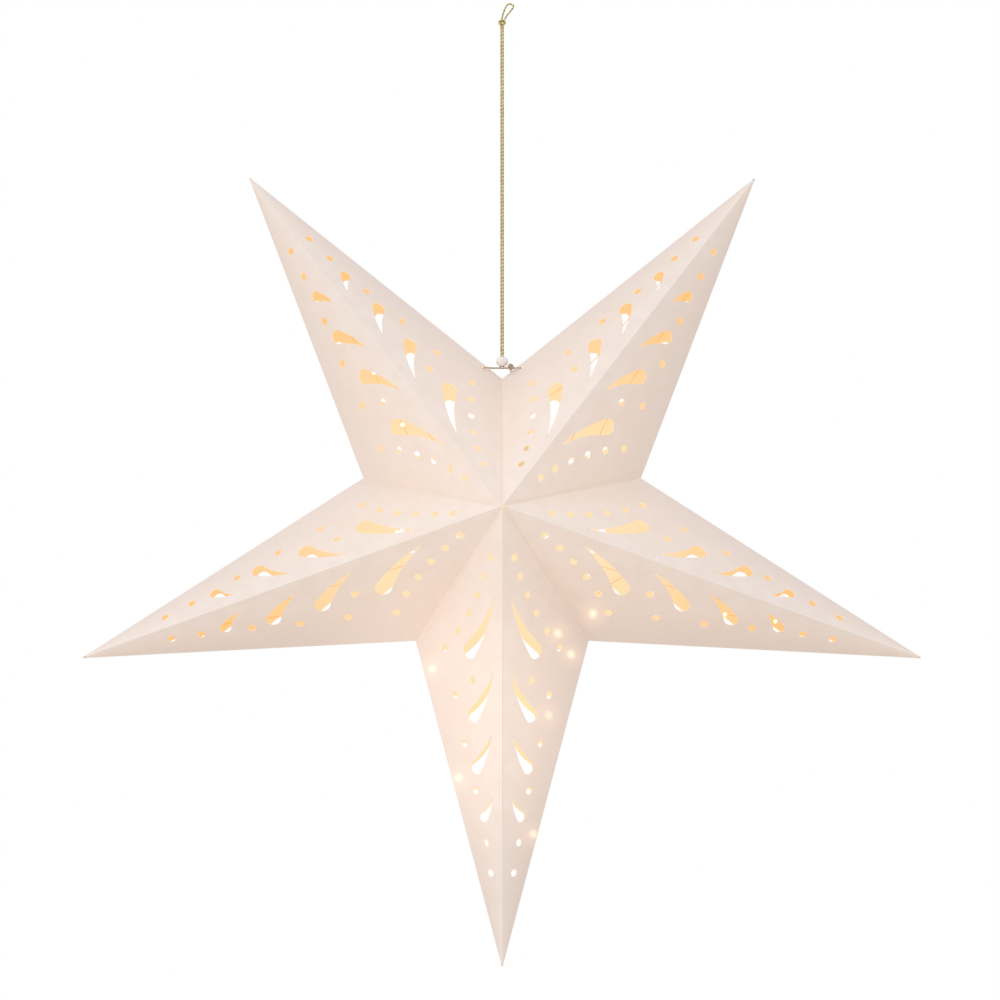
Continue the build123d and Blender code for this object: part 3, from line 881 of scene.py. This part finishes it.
def outward_of(key):
    return (placed(sheet_of(*key)).to_3x3() @ Vector((0, 0, 1))).normalized()


def body_of(key):
    point, face, number = key
    return frame["nodes"][f"{point}_{face}_{sides[point][number]}"]["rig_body"]


print("fold strips are", round(ridge_radius * 1000, 3), "mm from their creases")

# %% [markdown]
# The front ridges, the side edges and the front valleys join two bodies by one joint each, and
# each of them gets one strip. The back ridges and back valleys are where the star's ring of panels
# is open in the model of its motion, so each of their strips is two halves, one on each panel.

# %% Folds of the star
folds = []


def joined_fold(name, start, end, pair, ways, radius, reach):
    """A strip over the crease between two panels."""
    strip = fold_strip(name, start, end, *ways, radius, reach)
    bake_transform(strip)
    folds.append(strip)


def split_fold(name, start, end, pair, ways, radius, reach):
    """Two half strips, each on its own panel."""
    for number in (0, 1):
        half = fold_strip(f"{name}_{number + 1}", start, end, ways[number], ways[1 - number],
                          radius, reach, half=True)
        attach(half, body_of(pair[number]))
        folds.append(half)


for point in tip_angles:
    tip = star_point(tip_radius, tip_angles[point])
    for face, make in (("front", joined_fold), ("back", split_fold)):
        pair = (point, face, 0), (point, face, 1)
        ways = [outward_of(key) for key in pair]
        name = f"fold_{point}_{face}_ridge"
        make(name, tip, apexes[face], pair, ways, ridge_radius, ridge_reach)
    for number, side in enumerate(sides[point]):
        valley = corners_of(point, "front", number)[1]
        pair = (point, "front", number), (point, "back", number)
        ways = [outward_of(key) for key in pair]
        name = f"fold_{point}_{side}_edge"
        joined_fold(name, tip, valley, pair, ways, ridge_radius, ridge_reach)
print("folds of the points", len(folds))

# %% [markdown]
# The four valleys that are folded lie between neighbouring points. The fifth, at the top, is the
# seam that the cord closes, so it has no fold. Their strips are made in the same two ways, on the
# inside of the paper.

# %% Folds in the valleys
around = list(tip_angles)
for first, second in zip(around, around[1:]):
    for face, make in (("front", joined_fold), ("back", split_fold)):
        pair = (first, face, 1), (second, face, 0)
        inward = [-outward_of(key) for key in pair]
        valley = corners_of(second, face, 0)[1]
        make(f"fold_{second}_{face}_valley", valley, apexes[face], pair, inward,
             valley_radius_of_fold, valley_reach)
print("folds", len(folds))

# %% [markdown]
# The paper of the star is pale and slightly pink. Each panel is painted lighter towards its ridge
# and darker towards its side edges, as painted shading. It is thin enough for the lights to warm
# it, and that glow is painted in as emission: a little near the middle, more in the bottom point,
# and as soft spots where a light lies close behind the paper. A thin painted highlight runs along
# the ridges, and painted shade along the valleys. Along a valley the glued flap behind the paper
# shows as a faint band of painted shade.

# %% Outside of the paper
glow_spots = [
    (64.5, -68, 1.0), (39.5, -82.5, 0.9), (49, -96, 1.0), (-50, -106, 0.8), (33, -139.5, 0.6),
    (-31, -183.5, 0.8), (22, -223, 0.8),
]
bottom_glow = (-42 * mm, 0, -150 * mm)

paper_outside, tree, shader = finish_of("folded_paper_outside", Roughness=0.82, Sheen_Weight=0.15)
flat = node(tree, "UVMap", uv_map="sheet").outputs[0]
object_place = node(tree, "TexCoord").outputs["Object"]
from_middle = node(tree, "Mapping", {"Vector": object_place, "Location": -star_middle}).outputs[0]
in_plane = node(tree, "VectorMath", {0: from_middle, 1: (1, 0, 1)}, operation="MULTIPLY").outputs[0]
middle_distance = node(tree, "VectorMath", {0: in_plane}, operation="LENGTH").outputs["Value"]
front = math_node(tree, "LESS_THAN", node(tree, "SeparateXYZ", {0: from_middle}).outputs[1], 0.0)


def dot(tree, vector, direction):
    made = node(tree, "VectorMath", {0: vector, 1: direction}, operation="DOT_PRODUCT")
    return made.outputs["Value"]


ridge_distance = dot(tree, flat, (sin(ridge_angle), -cos(ridge_angle), 0))
side_distance = dot(tree, flat, (0, 1, 0))
valley_distance = math_node(tree, "SUBTRACT", dot(tree, flat, from_crease), crease_start)
valley_distance = math_node(tree, "ABSOLUTE", valley_distance)
along_valley = math_node(tree, "SUBTRACT", dot(tree, flat, crease), crease.dot(flat_valley))

fibres = node(tree, "TexNoise", {"Vector": flat, "Scale": 900.0, "Detail": 5.0}).outputs["Fac"]
clouds = node(tree, "TexNoise", {"Vector": flat, "Scale": 70.0, "Detail": 3.0}).outputs["Fac"]
across = math_node(tree, "DIVIDE", side_distance, dot(tree, flat, (tan(ridge_angle), 0, 0)))
flap_width = ramp(tree, along_valley, 0.0, 110 * mm, 6.5 * mm, 2.5 * mm)
inside_flap = math_node(tree, "SUBTRACT", flap_width, valley_distance)
doubled = node(tree, "Attribute", attribute_name="doubled").outputs["Fac"]
on_flap = math_node(tree, "MULTIPLY", ramp(tree, inside_flap, -0.3 * mm, 0.3 * mm), doubled)
layers = [
    # Painted shading: lighter from the side edge towards the ridge.
    (ramp(tree, across, 0.0, 0.5), (245, 230, 220)),
    (ramp(tree, across, 0.4, 1.0), (247, 236, 229)),
    (ramp(tree, clouds, 0.3, 0.7, 0.0, 0.35), (238, 219, 208)),
    (ramp(tree, fibres, 0.3, 0.75, 0.0, 0.25), (250, 240, 233)),
    # A painted highlight along the ridge.
    (ramp(tree, ridge_distance, 0.3 * mm, 1.8 * mm, 0.4, 0.0), (253, 243, 236)),
    # Painted shade along the valley.
    (ramp(tree, valley_distance, 0.2 * mm, 2.2 * mm, 0.12, 0.0), (232, 208, 196)),
    # Painted shade of the glued flap, seen through the paper.
    (math_node(tree, "MULTIPLY", on_flap, 0.16), (228, 208, 196)),
]
sheet_colour = colour(236, 222, 214)
for layer_share, layer_colour in layers:
    sheet_colour = mixed(tree, layer_share, sheet_colour, colour(*layer_colour))
tree.links.new(sheet_colour, shader.inputs["Base Color"])

height = math_node(tree, "MULTIPLY", fibres, 0.25)
height = math_node(tree, "ADD", height, math_node(tree, "MULTIPLY", clouds, 0.9))
height = math_node(tree, "ADD", height, math_node(tree, "MULTIPLY", on_flap, 0.4))
relief = node(tree, "Bump", {"Height": height, "Strength": 0.35, "Distance": 0.0003})
tree.links.new(relief.outputs[0], shader.inputs["Normal"])


def spots_of(tree, inner, outer):
    """Each spot's strength at its middle, fading to nothing at the outer distance."""
    total = 0.0
    for x, z, strength in glow_spots:
        spot = (x * mm, 0, z * mm)
        distance = node(tree, "VectorMath", {0: in_plane, 1: spot}, operation="DISTANCE")
        share = ramp(tree, distance.outputs["Value"], inner, outer, strength, 0.0)
        total = math_node(tree, "MAXIMUM", share, total)
    return math_node(tree, "MULTIPLY", total, front)


# The glow of the lights through the paper is painted light, given as emission.
warm = ramp(tree, middle_distance, 20 * mm, 230 * mm, 0.055, 0.0)
bottom_distance = node(tree, "VectorMath", {0: in_plane, 1: bottom_glow}, operation="DISTANCE")
bottom = ramp(tree, bottom_distance.outputs["Value"], 30 * mm, 130 * mm, 0.15, 0.0)
halo = math_node(tree, "MULTIPLY", spots_of(tree, 1 * mm, 14 * mm), 0.13)
core = math_node(tree, "MULTIPLY", spots_of(tree, 0.3 * mm, 4.5 * mm), 0.36)
halo_light = mixed(tree, math_node(tree, "ADD", warm, halo), (0, 0, 0, 1), colour(255, 200, 152))
bottom_light = mixed(tree, bottom, (0, 0, 0, 1), colour(255, 221, 196))
core_light = mixed(tree, core, (0, 0, 0, 1), colour(255, 246, 190))
light = mixed(tree, 1.0, halo_light, bottom_light, kind="ADD")
light = mixed(tree, 1.0, light, core_light, kind="ADD")
tree.links.new(light, shader.inputs["Emission Color"])
shader.inputs["Emission Strength"].default_value = 1.0
print("nodes of the paper's outside", len(tree.nodes))

# %% [markdown]
# Inside the star the lights make the paper glow: pale yellow near the middle and in the bottom
# point, where they are close together, and orange towards the other tips. The inside is given a
# dark colour and its glow as emission, because light that went back and forth between pale walls
# would add up to far more than the real lights give.

# %% Inside and cut edges of the paper
paper_inside, tree, shader = finish_of("lit_paper_inside", Roughness=0.9)
object_place = node(tree, "TexCoord").outputs["Object"]
from_middle = node(tree, "Mapping", {"Vector": object_place, "Location": -star_middle}).outputs[0]
in_plane = node(tree, "VectorMath", {0: from_middle, 1: (1, 0, 1)}, operation="MULTIPLY").outputs[0]
middle_distance = node(tree, "VectorMath", {0: in_plane}, operation="LENGTH").outputs["Value"]
patches = node(tree, "TexNoise", {"Vector": object_place, "Scale": 28.0, "Detail": 2.0})
patches = ramp(tree, patches.outputs["Fac"], 0.35, 0.75, 0.0, 0.35)
share = ramp(tree, middle_distance, 70 * mm, 215 * mm)
lit = mixed(tree, share, colour(252, 226, 184), colour(252, 198, 132))
bottom_middle = (0, 0, -190 * mm)
bottom_distance = node(tree, "VectorMath", {0: in_plane, 1: bottom_middle}, operation="DISTANCE")
in_bottom = ramp(tree, bottom_distance.outputs["Value"], 60 * mm, 130 * mm, 0.8, 0.0)
lit = mixed(tree, in_bottom, lit, colour(255, 232, 178))
lit = mixed(tree, patches, lit, colour(252, 216, 164))
tree.links.new(lit, shader.inputs["Emission Color"])
shader.inputs["Emission Strength"].default_value = 0.95
shader.inputs["Base Color"].default_value = colour(90, 70, 52)

# The cut edges are painted warm, with a faint emission: painted light from the lights inside.
paper_edge, tree, shader = finish_of("cut_edge_of_paper", Roughness=0.8)
object_place = node(tree, "TexCoord").outputs["Object"]
fibres = node(tree, "TexNoise", {"Vector": object_place, "Scale": 1400.0, "Detail": 3.0})
rim = mixed(tree, fibres.outputs["Fac"], colour(240, 214, 186), colour(252, 236, 214))
tree.links.new(rim, shader.inputs["Base Color"])
tree.links.new(mixed(tree, 0.25, (0, 0, 0, 1), rim), shader.inputs["Emission Color"])
shader.inputs["Emission Strength"].default_value = 1.0

fold_finish, tree, shader = finish_of("paper_at_a_fold", Roughness=0.75, Sheen_Weight=0.15)
object_place = node(tree, "TexCoord").outputs["Object"]
fibres = node(tree, "TexNoise", {"Vector": object_place, "Scale": 900.0, "Detail": 4.0})
fibres = fibres.outputs["Fac"]
creased = mixed(tree, ramp(tree, fibres, 0.3, 0.7), colour(242, 229, 220), colour(248, 237, 229))
tree.links.new(creased, shader.inputs["Base Color"])
relief = node(tree, "Bump", {"Height": fibres, "Strength": 0.3, "Distance": 0.0001})
tree.links.new(relief.outputs[0], shader.inputs["Normal"])

for panel in panels.values():
    for slot, finish in ((outside, paper_outside), (inside, paper_inside), (edges, paper_edge)):
        panel.data.materials[slot] = finish
for fold in folds:
    fold.data.materials.append(paper_inside if "valley" in fold.name else fold_finish)
print("finishes on", len(panels), "panels and", len(folds), "folds")

# %% [markdown]
# Behind the paper are the battery case with its cover, cells, contacts and switch, the flaps of
# doubled paper, and the drops of resin on the wire. Their CAD shapes are right, so they stay and
# only get their finishes. Moulded plastic has a fine grain and slow changes of colour, and the
# steel of the cells has fine upright scratches.

# %% Finishes of the battery case


def moulded(name, dark, light, roughness):
    """Plain moulded plastic: a fine grain and slow changes of colour."""
    made, tree, shader = finish_of(name, Roughness=roughness, Specular_IOR_Level=0.4)
    place = node(tree, "TexCoord").outputs["Object"]
    slow = node(tree, "TexNoise", {"Vector": place, "Scale": 60.0, "Detail": 2.0}).outputs["Fac"]
    fine = node(tree, "TexNoise", {"Vector": place, "Scale": 2200.0, "Detail": 2.0}).outputs["Fac"]
    base = mixed(tree, ramp(tree, slow, 0.3, 0.7), colour(*dark), colour(*light))
    tree.links.new(base, shader.inputs["Base Color"])
    grain = node(tree, "Bump", {"Height": fine, "Strength": 0.25, "Distance": 0.00005})
    tree.links.new(grain.outputs[0], shader.inputs["Normal"])
    return made


def metal_strip(name, dark, light, roughness, scratches):
    """Bare metal with fine scratches along one axis."""
    made, tree, shader = finish_of(name, Metallic=1.0, Roughness=roughness)
    place = node(tree, "TexCoord").outputs["Object"]
    drawn = node(tree, "Mapping", {"Vector": place, "Scale": scratches}).outputs[0]
    lines = node(tree, "TexNoise", {"Vector": drawn, "Scale": 900.0, "Detail": 3.0}).outputs["Fac"]
    base = mixed(tree, ramp(tree, lines, 0.3, 0.7), colour(*dark), colour(*light))
    tree.links.new(base, shader.inputs["Base Color"])
    marks = node(tree, "Bump", {"Height": lines, "Strength": 0.2, "Distance": 0.00003})
    tree.links.new(marks.outputs[0], shader.inputs["Normal"])
    return made


case_plastic = moulded("ivory_case_plastic", (228, 222, 208), (238, 233, 221), 0.45)
switch_plastic = moulded("black_switch_plastic", (24, 24, 25), (38, 38, 40), 0.4)
steel_lines = (1.0, 1.0, 0.08)
contact_lines = (0.1, 1.0, 1.0)
cell_steel = metal_strip("brushed_cell_steel", (168, 169, 172), (206, 207, 210), 0.3, steel_lines)
contact_metal = metal_strip("plated_contacts", (176, 168, 150), (212, 206, 190), 0.25,
                            contact_lines)

resin, tree, shader = finish_of("glowing_resin", Roughness=0.15, Coat_Weight=0.3)
place = node(tree, "TexCoord").outputs["Object"]
cloudy = node(tree, "TexNoise", {"Vector": place, "Scale": 700.0, "Detail": 1.0}).outputs["Fac"]
cloudy = ramp(tree, cloudy, 0.35, 0.7)
warm_light = mixed(tree, cloudy, colour(255, 214, 140), colour(255, 238, 190))
tree.links.new(warm_light, shader.inputs["Base Color"])
tree.links.new(warm_light, shader.inputs["Emission Color"])
shader.inputs["Emission Strength"].default_value = 3.0

part_finishes = {
    "battery_case": case_plastic,
    "battery_cover": case_plastic,
    "coin_cells": cell_steel,
    "contact_plate": contact_metal,
    "contact_springs": contact_metal,
    "switch_body": switch_plastic,
    "switch_knob": switch_plastic,
    "lights": resin,
}
part_finishes.update({name: paper_inside for name in frame["nodes"] if name.endswith("_flap")})
for name, finish in part_finishes.items():
    part = frame["nodes"][name]
    if not part.material_slots:
        part.data.materials.append(finish)
    for slot in part.material_slots:
        slot.material = finish
print("CAD parts with finishes", len(part_finishes))
